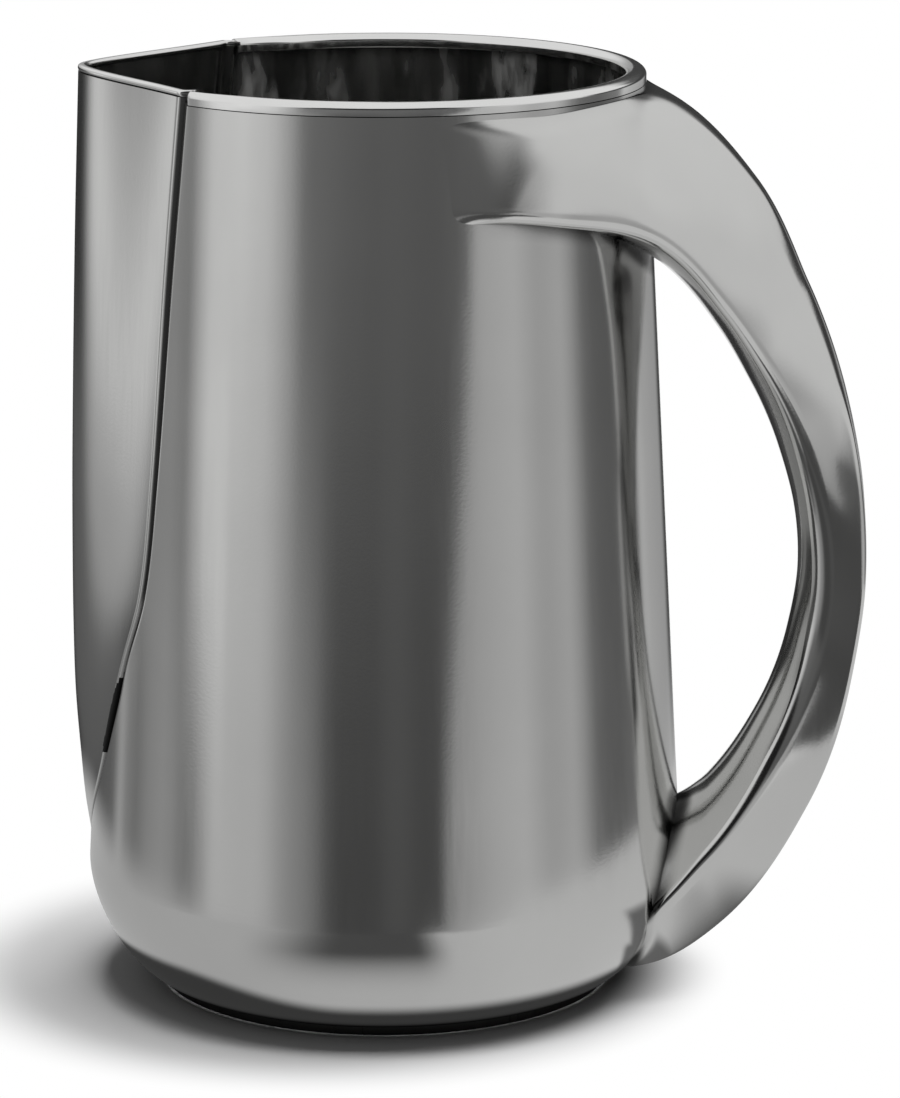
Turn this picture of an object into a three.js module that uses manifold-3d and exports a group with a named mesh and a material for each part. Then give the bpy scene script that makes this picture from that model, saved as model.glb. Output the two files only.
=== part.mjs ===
// Sterling silver pitcher with a pinched full-height spout and a hollow crescent handle.
// Millimetres. Z is up, the table is Z = 0, the handle points along +X and the spout
// along -X. Pieces are drawn about the body axis and moved at the end, so that the
// middle of the footprint comes to the origin.
import * as THREE from 'three';
import { mergeVertices } from 'three/addons/utils/BufferGeometryUtils.js';
import Module from 'manifold-3d';

const wasm = await Module();
wasm.setup();

// Body
const HEIGHT = 203.5;
const RIM_RADIUS = 56.9;
const BELLY_RADIUS = 65.9;
const BELLY_HEIGHT = 28;
const WALL = 1;
const CORNER_FLAT = 6.5;
const CORNER_RISE = 10.5;

// Foot and base
const FOOT_RADIUS = 49.9;
const FOOT_WIDTH = 3.4;
const FOOT_HEIGHT = 1.8;

// Mouth wire
const RIM_WIRE_HEIGHT = 3;
const RIM_WIRE_INWARD = 4.5;
const RIM_WIRE_PROUD = 0.4;

// Spout
const SPOUT_TIP_HEIGHT = 31;
const SPOUT_NOSE_PULL = 0.2;
const SPOUT_PINCH_REACH = 0.38;
const SPOUT_PINCH_WIDTH = 0.62;
const LIP_HEIGHT = 2;
const LIP_PROUD = 0.3;
const LIP_WIDTH = 2;

// Handle
const GRIP_INSET = 2.4;
const SHEET = 1.2;
const FLANK_FEATHER = 0.6;

// Solder gap left between neighbouring pieces
const GAP = 0.3;

// Mesh fineness
const TURN = 72;

const SILVER = 0xc9cbcc;

// Spout drawn by height above the table: the crease angle each side of the spout
// axis and how far the nose stands out of the body cone.
const SPOUT_STATIONS = [
  { z: 0.15, crease: 3, nose: 0.3 },
  { z: 0.19, crease: 11, nose: 1.9 },
  { z: 0.24, crease: 19, nose: 3.3 },
  { z: 0.31, crease: 26, nose: 5 },
  { z: 0.38, crease: 31.5, nose: 6 },
  { z: 0.46, crease: 38, nose: 6.8 },
  { z: 0.58, crease: 41, nose: 7.7 },
  { z: 0.8, crease: 43.8, nose: 8.8 },
  { z: 1, crease: 47, nose: 9.4 },
];

// The handle spans the body from rim to foot, so it is drawn in proportion to it, on
// rays from a grip centre near mid-height. Angle in degrees above the horizontal; back,
// edge and grip are distances along the ray, for a body one unit high, to the outer
// band, to the edge where flank meets inner band, and to the middle of the inner band.
// half is the half width at that edge and tail the one at the outer band, for a mouth
// of one unit radius; bulge is how full the flank is between the two, one being flat.
const GRIP_CENTRE = 0.4914;
const HANDLE_STATIONS = [
  { angle: 120, back: 0.5651, edge: 0.4413, grip: 0.4275, half: 1, tail: 0.06, bulge: 2.5 },
  { angle: 105, back: 0.5061, edge: 0.3902, grip: 0.3686, half: 0.8484, tail: 0.06, bulge: 2.5 },
  { angle: 90, back: 0.485, edge: 0.3474, grip: 0.3086, half: 0.5662, tail: 0.062, bulge: 2 },
  { angle: 75, back: 0.4049, edge: 0.2776, grip: 0.2447, half: 0.4016, tail: 0.0663, bulge: 1.4 },
  { angle: 60, back: 0.3229, edge: 0.2314, grip: 0.2005, half: 0.2962, tail: 0.0747, bulge: 1.15 },
  { angle: 38, back: 0.259, edge: 0.1936, grip: 0.1666, half: 0.2143, tail: 0.098, bulge: 1.15 },
  { angle: 15, back: 0.231, edge: 0.1764, grip: 0.1538, half: 0.1745, tail: 0.1271, bulge: 1.15 },
  { angle: -10, back: 0.231, edge: 0.1808, grip: 0.1563, half: 0.1606, tail: 0.1379, bulge: 1.15 },
  { angle: -35, back: 0.2609, edge: 0.2064, grip: 0.1744, half: 0.1659, tail: 0.139, bulge: 1.15 },
  { angle: -60, back: 0.3361, edge: 0.2634, grip: 0.2192, half: 0.2359, tail: 0.1434, bulge: 1.15 },
  { angle: -80, back: 0.429, edge: 0.3376, grip: 0.2816, half: 0.3902, tail: 0.1707, bulge: 1.15 },
  { angle: -88.5, back: 0.4649, edge: 0.3833, grip: 0.3219, half: 0.4617, tail: 0.1742, bulge: 1.15 },
  { angle: -97, back: 0.4806, edge: 0.4324, grip: 0.3636, half: 0.5139, tail: 0.1742, bulge: 1.15 },
];

const RAD = Math.PI / 180;
const WALL_TOP = HEIGHT - RIM_WIRE_HEIGHT - GAP;
const WALL_BOTTOM = FOOT_HEIGHT + GAP;
const CONE_SLOPE = (BELLY_RADIUS - RIM_RADIUS) / (HEIGHT - BELLY_HEIGHT);

// Outer radius of the body cone at a height.
function coneRadius(z) {
  return RIM_RADIUS + CONE_SLOPE * (HEIGHT - z);
}

// Smooth curve through drawn stations.
function through(stations, key, name, at) {
  const rising = stations[1][key] > stations[0][key];
  const sorted = rising ? stations : [...stations].reverse();
  const last = sorted.length - 1;
  const inside = Math.min(Math.max(at, sorted[0][key]), sorted[last][key]);
  let i = 0;
  while (i < last - 1 && inside > sorted[i + 1][key]) {
    i += 1;
  }
  const slope = (k) => {
    const a = sorted[Math.max(k - 1, 0)];
    const b = sorted[Math.min(k + 1, last)];
    return (b[name] - a[name]) / (b[key] - a[key]);
  };
  const span = sorted[i + 1][key] - sorted[i][key];
  const t = (inside - sorted[i][key]) / span;
  const t2 = t * t;
  const t3 = t2 * t;
  return (
    sorted[i][name] * (2 * t3 - 3 * t2 + 1) +
    sorted[i + 1][name] * (3 * t2 - 2 * t3) +
    slope(i) * span * (t3 - 2 * t2 + t) +
    slope(i + 1) * span * (t3 - t2)
  );
}

// Plain geometry made from points and triangles, with faces turned outwards.
function geometryOf(positions, triangles) {
  const raw = new THREE.BufferGeometry();
  raw.setAttribute('position', new THREE.Float32BufferAttribute(positions, 3));
  raw.setIndex(triangles);
  const geometry = mergeVertices(raw, 1e-4);
  const point = geometry.getAttribute('position');
  const index = Array.from(geometry.getIndex().array);
  const kept = [];
  let volume = 0;
  const a = new THREE.Vector3();
  const b = new THREE.Vector3();
  const c = new THREE.Vector3();
  for (let i = 0; i < index.length; i += 3) {
    const [p, q, r] = [index[i], index[i + 1], index[i + 2]];
    if (p === q || q === r || r === p) {
      continue;
    }
    a.fromBufferAttribute(point, p);
    b.fromBufferAttribute(point, q);
    c.fromBufferAttribute(point, r);
    volume += a.dot(b.cross(c));
    kept.push(p, q, r);
  }
  if (volume < 0) {
    for (let i = 0; i < kept.length; i += 3) {
      const swap = kept[i + 1];
      kept[i + 1] = kept[i + 2];
      kept[i + 2] = swap;
    }
  }
  geometry.setIndex(kept);
  return geometry;
}

function solid(geometry) {
  const mesh = new wasm.Mesh({
    numProp: 3,
    vertProperties: new Float32Array(geometry.getAttribute('position').array),
    triVerts: new Uint32Array(geometry.getIndex().array),
  });
  mesh.merge();
  return new wasm.Manifold(mesh);
}

// Turn a closed profile of [radius, height] points about the body axis.
function turned(profile) {
  const loop = profile.map(([r, z]) => new THREE.Vector2(r, z));
  loop.push(loop[0].clone());
  const lathe = new THREE.LatheGeometry(loop, TURN);
  lathe.rotateX(Math.PI / 2);
  return solid(geometryOf(lathe.getAttribute('position').array, Array.from(lathe.getIndex().array)));
}

// Closed sheet between two grids of points that match row by row.
function sheet(outer, inner) {
  const rows = outer.length;
  const columns = outer[0].length;
  const positions = [...outer, ...inner].flat().flatMap((p) => p);
  const triangles = [];
  const at = (side, i, j) => side * rows * columns + i * columns + j;
  const quad = (a, b, c, d) => triangles.push(a, b, c, a, c, d);
  for (let i = 0; i < rows - 1; i += 1) {
    for (let j = 0; j < columns - 1; j += 1) {
      quad(at(0, i, j), at(0, i + 1, j), at(0, i + 1, j + 1), at(0, i, j + 1));
      quad(at(1, i, j), at(1, i, j + 1), at(1, i + 1, j + 1), at(1, i + 1, j));
    }
    quad(at(0, i, 0), at(1, i, 0), at(1, i + 1, 0), at(0, i + 1, 0));
    const far = columns - 1;
    quad(at(0, i, far), at(0, i + 1, far), at(1, i + 1, far), at(1, i, far));
  }
  for (let j = 0; j < columns - 1; j += 1) {
    quad(at(0, 0, j), at(0, 0, j + 1), at(1, 0, j + 1), at(1, 0, j));
    const end = rows - 1;
    quad(at(0, end, j), at(1, end, j), at(1, end, j + 1), at(0, end, j + 1));
  }
  return solid(geometryOf(positions, triangles));
}

// The largest single body of a cut result.
function largest(manifold) {
  const bodies = manifold.decompose();
  bodies.sort((a, b) => b.volume() - a.volume());
  return bodies[0];
}

function steps(from, to, count) {
  return Array.from({ length: count + 1 }, (_, i) => from + ((to - from) * i) / count);
}

// Outer outline of the body from the turned-in bottom edge up to the rim.
function bodyOutline(grow, top) {
  const low = [FOOT_RADIUS + GAP, WALL_BOTTOM];
  const high = [coneRadius(BELLY_HEIGHT), BELLY_HEIGHT];
  const corner = new THREE.CubicBezierCurve(
    new THREE.Vector2(low[0], low[1]),
    new THREE.Vector2(low[0] + CORNER_FLAT, low[1]),
    new THREE.Vector2(coneRadius(BELLY_HEIGHT - CORNER_RISE), BELLY_HEIGHT - CORNER_RISE),
    new THREE.Vector2(high[0], high[1]),
  );
  const line = [];
  for (const t of steps(0, 1, 10)) {
    const p = corner.getPoint(t);
    const d = corner.getTangent(t);
    line.push([p.x + d.y * grow, p.y - d.x * grow]);
  }
  for (const z of steps(BELLY_HEIGHT, top, 3).slice(1)) {
    line.push([coneRadius(z) + grow, z]);
  }
  return line;
}

// Plan of half the spout at one height, from the nose to past the crease.
function spoutPlan(z, t) {
  const share = z / HEIGHT;
  const radius = coneRadius(z);
  const angle = through(SPOUT_STATIONS, 'z', 'crease', share) * RAD;
  const nose = radius + through(SPOUT_STATIONS, 'z', 'nose', share);
  const reach = radius * Math.cos(angle);
  const half = radius * Math.sin(angle);
  const curve = [
    [nose, 0],
    [nose, SPOUT_NOSE_PULL * half],
    [reach + SPOUT_PINCH_REACH * (nose - reach), SPOUT_PINCH_WIDTH * half],
    [reach, half],
  ];
  const u = 1 - t;
  const weight = [u * u * u, 3 * u * u * t, 3 * u * t * t, t * t * t];
  const along = [
    3 * u * u * (curve[1][0] - curve[0][0]) + 6 * u * t * (curve[2][0] - curve[1][0]) +
      3 * t * t * (curve[3][0] - curve[2][0]),
    3 * u * u * (curve[1][1] - curve[0][1]) + 6 * u * t * (curve[2][1] - curve[1][1]) +
      3 * t * t * (curve[3][1] - curve[2][1]),
  ];
  const length = Math.hypot(along[0], along[1]);
  return {
    x: curve.reduce((sum, p, i) => sum + p[0] * weight[i], 0),
    y: curve.reduce((sum, p, i) => sum + p[1] * weight[i], 0),
    nx: along[1] / length,
    ny: -along[0] / length,
  };
}

// One row of points round the whole spout at a height, moved out or in by an offset.
function spoutRow(z, offset) {
  const past = 1.06;
  const half = steps(0, past, 12);
  const side = (t, sign) => {
    const p = spoutPlan(z, t);
    return [-(p.x + p.nx * offset), sign * (p.y + p.ny * offset), z];
  };
  const near = half.slice(1).reverse().map((t) => side(t, -1));
  return [...near, ...half.map((t) => side(t, 1))];
}

// Wedge of space that belongs to the spout, its two sides moved apart by an offset.
function spoutWedge(offset) {
  const far = 2 * BELLY_RADIUS;
  const start = [];
  const end = [];
  for (const z of steps(SPOUT_TIP_HEIGHT, HEIGHT + RIM_WIRE_HEIGHT, 40)) {
    const angle = through(SPOUT_STATIONS, 'z', 'crease', z / HEIGHT) * RAD;
    const shift = offset / Math.cos(angle);
    const apex = Math.max(-offset / Math.sin(angle), 0);
    const narrow = Math.max(shift, 0.001);
    const wide = far * Math.tan(angle) + shift;
    start.push([[-apex, -narrow, z], [-apex, narrow, z]]);
    end.push([[-far, -wide, z], [-far, wide, z]]);
  }
  return sheet(end, start);
}

// Handle

const GRIP_Z = GRIP_CENTRE * HEIGHT;
const GRIP_X = coneRadius(GRIP_Z) - GRIP_INSET;

function onRay(angle, distance, y) {
  return [GRIP_X + distance * Math.cos(angle * RAD), y, GRIP_Z + distance * Math.sin(angle * RAD)];
}

// All edges of the handle on one ray.
function handleSection(angle) {
  const read = (name) => through(HANDLE_STATIONS, 'angle', name, angle);
  const top = (WALL_TOP - GRIP_Z) / Math.sin(Math.max(angle, 1) * RAD);
  const drawn = read('back') * HEIGHT;
  const back = angle > 60 ? Math.min(drawn, top) : drawn;
  const root = onRay(angle, back, 0);
  const ring = angle > 60 ? Math.sqrt(Math.max(coneRadius(root[2]) ** 2 - root[0] ** 2, 0)) : 0;
  const tail = read('tail') * RIM_RADIUS;
  return {
    back,
    edge: read('edge') * HEIGHT,
    grip: read('grip') * HEIGHT,
    half: read('half') * RIM_RADIUS,
    tail: ring + tail * Math.exp(-ring / (1.2 * tail)),
    bulge: read('bulge'),
  };
}

// Half width of the flank at a distance along the ray.
function flankHalf(section, distance) {
  const share = (distance - section.edge) / (section.back - section.edge);
  const t = Math.min(Math.max(share, 0), 1);
  return section.tail + (section.half - section.tail) * (1 - t ** section.bulge);
}

const ROOT_ANGLE = 119.5;
const FREE_ANGLE = 84;
const FOOT_ANGLE = -96;
const FREE_ANGLES = steps(FREE_ANGLE, FOOT_ANGLE, 36);
const HANDLE_ANGLES = [
  ...steps(ROOT_ANGLE, 98, 8),
  ...steps(97, 87, 10),
  ...FREE_ANGLES,
];

// One point of a flank: a share of the way from the inner edge to the outer band.
function flankPoint(angle, share, inset) {
  const section = handleSection(angle);
  const distance = section.edge + (section.back - section.edge) * share;
  return onRay(angle, distance, flankHalf(section, distance) - inset);
}

// Ray on which the flank first stands clear of the body.
function flankStart(share) {
  const clear = (angle) => {
    const [x, y, z] = flankPoint(angle, share, 0);
    return Math.hypot(x, y) - coneRadius(z) >= FLANK_FEATHER;
  };
  const found = steps(ROOT_ANGLE, FREE_ANGLE, 240).find(clear);
  return found ?? FREE_ANGLE + 1;
}

// Grid of points on a flank, moved inwards by an inset, for shares across the flank.
function flankGrid(sign, inset, shares) {
  const starts = shares.map((share) => flankStart(Math.min(Math.max(share, 0), 1)));
  const grid = [];
  for (const u of steps(0, 1, 14).slice(0, -1)) {
    grid.push(shares.map((share, j) => flankPoint(starts[j] + (FREE_ANGLE - starts[j]) * u, share, inset)));
  }
  for (const angle of FREE_ANGLES) {
    grid.push(shares.map((share) => flankPoint(angle, share, inset)));
  }
  return grid.map((row) => row.map(([x, y, z]) => [x, sign * y, z]));
}

function handleFlank(sign) {
  const shares = steps(0, 1, 6);
  return sheet(flankGrid(sign, 0, shares), flankGrid(sign, SHEET, shares));
}

// Space taken by a flank and everything outside it, grown by the solder gap.
function flankOutside(sign) {
  const shares = [-0.3, ...steps(0, 1, 6), 1.3];
  return sheet(flankGrid(sign, -3 * SHEET, shares), flankGrid(sign, SHEET + GAP, shares));
}

function handleOuterBand() {
  const angles = HANDLE_ANGLES.filter((angle) => angle < 93);
  const rows = (depth) =>
    angles.map((angle) => {
      const section = handleSection(angle);
      const distance = section.back - depth;
      const half = flankHalf(section, distance);
      return steps(-half, half, 2).map((y) => onRay(angle, distance, y));
    });
  return sheet(rows(0), rows(SHEET)).subtract(flankOutside(1)).subtract(flankOutside(-1));
}

function handleInnerBand() {
  const rows = (depth) =>
    HANDLE_ANGLES.map((angle) => {
      const section = handleSection(angle);
      const rise = section.edge - section.grip;
      return steps(-1, 1, 8).map((v) =>
        onRay(angle, section.grip + rise * v * v + depth, v * section.half),
      );
    });
  return sheet(rows(0), rows(SHEET)).subtract(flankOutside(1)).subtract(flankOutside(-1));
}

// Pieces

function bodyWall() {
  const outer = bodyOutline(0, WALL_TOP);
  const inner = bodyOutline(-WALL, WALL_TOP);
  const wall = turned([...outer, ...inner.reverse()]);
  return wall.subtract(spoutWedge(GAP / 2));
}

function basePlate() {
  return turned([
    [0, WALL_BOTTOM],
    [FOOT_RADIUS, WALL_BOTTOM],
    [FOOT_RADIUS, WALL_BOTTOM + WALL],
    [0, WALL_BOTTOM + WALL],
  ]);
}

function footRing() {
  const inside = FOOT_RADIUS - FOOT_WIDTH;
  return turned([
    [inside, 0],
    [FOOT_RADIUS, 0],
    [FOOT_RADIUS, FOOT_HEIGHT],
    [inside, FOOT_HEIGHT],
  ]);
}

function rimWire() {
  const low = HEIGHT - RIM_WIRE_HEIGHT;
  const outside = RIM_RADIUS + RIM_WIRE_PROUD;
  const inside = RIM_RADIUS - RIM_WIRE_INWARD;
  const middle = (outside + inside) / 2;
  const half = (outside - inside) / 2;
  const crown = steps(0, 180, 8).map((a) => [
    middle + half * Math.cos(a * RAD),
    HEIGHT - RIM_WIRE_HEIGHT / 2 + (RIM_WIRE_HEIGHT / 2) * Math.sin(a * RAD),
  ]);
  const ring = turned([[inside, low], [outside, low], ...crown]);
  return ring.subtract(spoutWedge(GAP / 2));
}

function spoutShell() {
  const levels = steps(SPOUT_TIP_HEIGHT + GAP, HEIGHT - LIP_HEIGHT - GAP, 26);
  const shell = sheet(levels.map((z) => spoutRow(z, 0)), levels.map((z) => spoutRow(z, -WALL)));
  return largest(shell.intersect(spoutWedge(-GAP / 2)));
}

function spoutLip() {
  const levels = steps(HEIGHT - LIP_HEIGHT, HEIGHT, 2);
  const lip = sheet(
    levels.map((z) => spoutRow(z, LIP_PROUD)),
    levels.map((z) => spoutRow(z, LIP_PROUD - LIP_WIDTH)),
  );
  return largest(lip.intersect(spoutWedge(-GAP / 2)));
}

// Everything the body already fills, grown by the solder gap, for trimming the handle.
function bodyFilled() {
  const outline = bodyOutline(GAP, HEIGHT + 5);
  const under = -FOOT_HEIGHT;
  return turned([[0, under], [FOOT_RADIUS + GAP, under], ...outline, [0, HEIGHT + 5]]);
}

function meshOf(name, manifold, roughness) {
  const data = manifold.getMesh();
  const geometry = new THREE.BufferGeometry();
  geometry.setAttribute('position', new THREE.Float32BufferAttribute(data.vertProperties, 3));
  geometry.setIndex(Array.from(data.triVerts));
  geometry.computeVertexNormals();
  const material = new THREE.MeshStandardMaterial({ color: SILVER, roughness, metalness: 1 });
  const mesh = new THREE.Mesh(geometry, material);
  mesh.name = name;
  return mesh;
}

const filled = bodyFilled();
const trimmed = (piece) => largest(piece.subtract(filled));

const pitcher = new THREE.Group();
pitcher.name = 'pitcher';
pitcher.add(
  meshOf('body_wall', bodyWall(), 0.25),
  meshOf('base_plate', basePlate(), 0.3),
  meshOf('foot_ring', footRing(), 0.3),
  meshOf('rim_wire', rimWire(), 0.2),
  meshOf('spout_shell', spoutShell(), 0.25),
  meshOf('spout_lip', spoutLip(), 0.2),
  meshOf('handle_left_flank', trimmed(handleFlank(-1)), 0.25),
  meshOf('handle_right_flank', trimmed(handleFlank(1)), 0.25),
  meshOf('handle_outer_band', trimmed(handleOuterBand()), 0.25),
  meshOf('handle_inner_band', trimmed(handleInnerBand()), 0.25),
);

// The middle of the footprint becomes the origin.
const middle = new THREE.Box3().setFromObject(pitcher).getCenter(new THREE.Vector3());
for (const mesh of pitcher.children) {
  mesh.geometry.translate(-middle.x, 0, 0);
}

export default pitcher;
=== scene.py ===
import math
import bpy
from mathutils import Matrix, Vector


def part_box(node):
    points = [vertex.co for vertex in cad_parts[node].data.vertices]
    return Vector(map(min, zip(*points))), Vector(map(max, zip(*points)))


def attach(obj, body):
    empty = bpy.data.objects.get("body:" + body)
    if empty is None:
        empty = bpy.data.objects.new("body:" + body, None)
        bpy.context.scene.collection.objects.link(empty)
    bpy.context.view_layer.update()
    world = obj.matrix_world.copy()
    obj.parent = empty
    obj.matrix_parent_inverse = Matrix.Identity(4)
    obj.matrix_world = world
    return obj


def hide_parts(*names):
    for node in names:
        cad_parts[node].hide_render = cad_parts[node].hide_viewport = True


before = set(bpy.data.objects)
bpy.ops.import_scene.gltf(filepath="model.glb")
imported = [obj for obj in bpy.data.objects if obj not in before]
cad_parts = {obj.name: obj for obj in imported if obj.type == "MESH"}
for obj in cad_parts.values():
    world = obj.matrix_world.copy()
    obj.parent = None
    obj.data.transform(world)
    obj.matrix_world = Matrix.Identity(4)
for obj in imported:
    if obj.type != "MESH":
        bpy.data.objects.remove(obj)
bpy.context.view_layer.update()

from types import SimpleNamespace

import bmesh
import bpy
import numpy as np
from mathutils import Vector

MM = 0.001

# Fineness of the meshes
TURN = 360
SHARP_ANGLE = 40.0
HANDLE_SHARP_ANGLE = 50.0
MERGE_DISTANCE = 2e-6
DEGENERATE_DISTANCE = 1e-7
TINY = 1e-9

# Body, in millimetres about its own axis; the handle points along +X, the spout along -X
HEIGHT = 203.5
RIM_RADIUS = 56.9
BELLY_RADIUS = 65.9
BELLY_HEIGHT = 28.0
WALL = 1.0
CORNER_FLAT = 6.5
CORNER_RISE = 10.5
FOOT_RADIUS = 49.9
FOOT_WIDTH = 3.4
FOOT_HEIGHT = 1.8
SEAM = 0.3
OUTLINE_STEPS = 48

# Mouth wire
RIM_WIRE_HEIGHT = 3.0
RIM_WIRE_INWARD = 4.5
RIM_WIRE_PROUD = 0.15
RIM_WIRE_EASE = 0.2
RIM_TAPER = 16.0
RIM_ARC_STEPS = 25

# Spout: share of the height, crease angle each side in degrees, nose in front of the cone
SPOUT_STATIONS = [
    (0.135, 0.2, 0.0), (0.15, 3.0, 0.3), (0.19, 11.0, 1.9), (0.24, 19.0, 3.3),
    (0.31, 26.0, 5.0), (0.38, 31.5, 6.0), (0.46, 38.0, 6.8), (0.58, 41.0, 7.7),
    (0.8, 43.8, 8.8), (1.0, 47.0, 9.4),
]
SPOUT_FOOT = 0.137
SPOUT_NOSE_PULL = 0.2
SPOUT_PINCH_REACH = 0.38
SPOUT_PINCH_WIDTH = 0.62
SPOUT_LEVELS = 130
SPOUT_THIN_ANGLE = 0.35
LIP_HEIGHT = 1.5
LIP_PROUD = 0.12
LIP_WIDTH = 2.0
LIP_STEPS = 20
LIP_SQUARENESS = 0.35

# Shares of the way from nose to crease, crowded near the crease
DENSE_FROM = 0.9
SPOUT_SHARES = np.concatenate([
    np.linspace(0, DENSE_FROM, 46), DENSE_FROM + (1 - DENSE_FROM) * np.linspace(0, 1, 14)[1:] ** 0.7
])

# Groove along the crease: size at the mouth, shares of it lower down, the shares of the height
# between which it grows, and the crease angle in radians by which it is full
CREASE_DEPTH = 2.6
CREASE_WIDTH = 0.85
CREASE_LOW_DEPTH = 0.75
CREASE_LOW_WIDTH = 0.7
CREASE_GROWS = (0.45, 0.95)
CREASE_FULL = 0.35
NEAR_CREASE = [0.0, 0.2, 0.4, 0.6, 0.85, 1.1, 1.4, 1.8, 2.4, 3.3, 4.5]
SEAM_OPENS = 0.05

# Slit near the foot of the crease: heights where it starts, is full, closes and ends, what it
# adds to the groove, and how far its painted black shade reaches on the body and on the spout
SLIT_HEIGHTS = (53.0, 56.5, 68.0, 79.0)
SLIT_DEPTH = 0.6
SLIT_WIDTH = 0.2
SLIT_ON_BODY = 0.6
SLIT_ON_SPOUT = 2.4

# Base disc: a pole at the axis and an eased lower edge
BASE_POLE = 0.02
BASE_EASE_IN = 0.3
BASE_EASE_UP = 0.2

# Handle on rays from the grip centre: angle, then outer band, edge and grip distances as
# shares of the height, then half widths at the edge and at the outer band as shares of the
# mouth, then how full the flank is between the two (1 is flat)
GRIP_CENTRE = 0.4914
GRIP_INSET = 2.4
HANDLE_STATIONS = [
    (-97.0, 0.4806, 0.4324, 0.3636, 0.5139, 0.1742, 1.15),
    (-88.5, 0.4649, 0.3833, 0.3219, 0.4617, 0.1742, 1.15),
    (-80.0, 0.429, 0.3376, 0.2816, 0.3902, 0.1707, 1.15),
    (-60.0, 0.3361, 0.2634, 0.2192, 0.2359, 0.1434, 1.15),
    (-35.0, 0.2609, 0.2064, 0.1744, 0.1659, 0.139, 1.15),
    (-10.0, 0.231, 0.1808, 0.1563, 0.1606, 0.1379, 1.15),
    (15.0, 0.231, 0.1764, 0.1538, 0.1745, 0.1271, 1.15),
    (38.0, 0.259, 0.1936, 0.1666, 0.2143, 0.098, 1.15),
    (60.0, 0.3229, 0.2314, 0.2005, 0.2962, 0.0747, 1.15),
    (75.0, 0.4049, 0.2776, 0.2447, 0.4016, 0.0663, 1.4),
    (90.0, 0.485, 0.3474, 0.3086, 0.5662, 0.062, 2.0),
    (105.0, 0.5061, 0.3902, 0.3686, 0.8484, 0.06, 2.5),
    (120.0, 0.5651, 0.4413, 0.4275, 1.0, 0.06, 2.5),
]
RAY_COUNT = 4341
ROOT_ANGLE = 119.5
FOOT_ANGLE = -96.0
FREE_ANGLE = 84.0
LOW_ANGLE = -70.0
OUTER_ROOT = (80.0, 100.0)
SHEET = 0.9
HIDDEN_DEPTH = 0.7

# Upper end: where the outer band is held below the rim and opens into a ring round the body
TOP_LOWEST_RAY = 30.0
TOP_FROM = 60.0
TOP_SOFT = 1.0
RING_SOFT = 320.0
RING_OPENS = (35.0, 80.0)
TAIL_FADE = 6.0

# Upper root: degrees over which it fades at its lower edge and at the rim
ROOT_FADE = 8.0
ROOT_FADE_TOP = 20.0
ROOT_BLEND = 1.6
ROOT_FROM = (60.0, 80.0)
ROOT_PROUD = (8.0, 3.0)
BURIED = 0.15
INSIDE_WALL = 0.5

# Rounded edges, the groove where the lower end meets the body, and the fillet in the crotch
EDGE_ROUND_FLANK = 3.2
EDGE_ROUND_INNER = 2.6
EDGE_LIMIT = 0.3
BACK_ROUND = 1.2
BACK_ROUND_HIGH = 4.0
BACK_ROUND_GROWS = (28.0, 50.0)
BACK_LIMIT = 0.6
JOINT_DEPTH = 1.8
JOINT_WIDTH = 1.1
JOINT_FROM = (-60.0, -72.0)
CROTCH_LIFT = 2.2
CROTCH_REACH = 7.0
CROTCH_FROM = (-30.0, -50.0)
CROTCH_SHARE = (1.0, 0.8)

# Camera: where it stands about the body axis, and which way it looks
CAMERA_DISTANCE = 1124.55
CAMERA_HEIGHT = 357.4
PART_YAW = 4.5
LOOK_RIGHT = 0.74
LOOK_DOWN = 13.08
FOCAL_PIXELS = 5223.16
PHOTO_HEIGHT = 1098
SENSOR = 36.0
CLIP_NEAR = 0.01

low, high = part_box("foot_ring")
AXIS_X = (low.x + high.x) / 2

WALL_TOP = HEIGHT - RIM_WIRE_HEIGHT - SEAM
WALL_BOTTOM = FOOT_HEIGHT + SEAM
CONE_SLOPE = (BELLY_RADIUS - RIM_RADIUS) / (HEIGHT - BELLY_HEIGHT)
GRIP_Z = GRIP_CENTRE * HEIGHT


def cone_radius(z):
    return RIM_RADIUS + CONE_SLOPE * (HEIGHT - z)


GRIP_X = cone_radius(GRIP_Z) - GRIP_INSET


def through(stations, column, at):
    """Smooth curve through one column of a station table whose first column rises."""
    table = np.array(stations)
    key, value = table[:, 0], table[:, column]
    last = len(key) - 1
    at = np.clip(np.asarray(at, float), key[0], key[-1])
    i = np.clip(np.searchsorted(key, at) - 1, 0, last - 1)
    before = np.maximum(np.arange(last + 1) - 1, 0)
    after = np.minimum(np.arange(last + 1) + 1, last)
    slope = (value[after] - value[before]) / (key[after] - key[before])
    span = key[i + 1] - key[i]
    t = (at - key[i]) / span
    return (
        value[i] * (2 * t**3 - 3 * t**2 + 1)
        + value[i + 1] * (3 * t**2 - 2 * t**3)
        + slope[i] * span * (t**3 - 2 * t**2 + t)
        + slope[i + 1] * span * (t**3 - t**2)
    )


def smooth_step(a, b, x):
    t = np.clip((np.asarray(x, float) - a) / (b - a), 0, 1)
    return t * t * (3 - 2 * t)


def soft_plus(x, width):
    """Smooth version of max(x, 0)."""
    return (x + np.sqrt(x * x + width * width)) / 2


def cubic(p0, p1, p2, p3, t):
    """Points of a cubic curve and its directions there, for a column of shares."""
    u = 1 - t
    point = u**3 * p0 + 3 * u * u * t * p1 + 3 * u * t * t * p2 + t**3 * p3
    along = 3 * u * u * (p1 - p0) + 6 * u * t * (p2 - p1) + 3 * t * t * (p3 - p2)
    return point, along


def outward(along):
    """Unit normals on the right-hand side of directions."""
    along = along / np.linalg.norm(along, axis=1)[:, None]
    return np.stack([along[:, 1], -along[:, 0]], 1)


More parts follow.
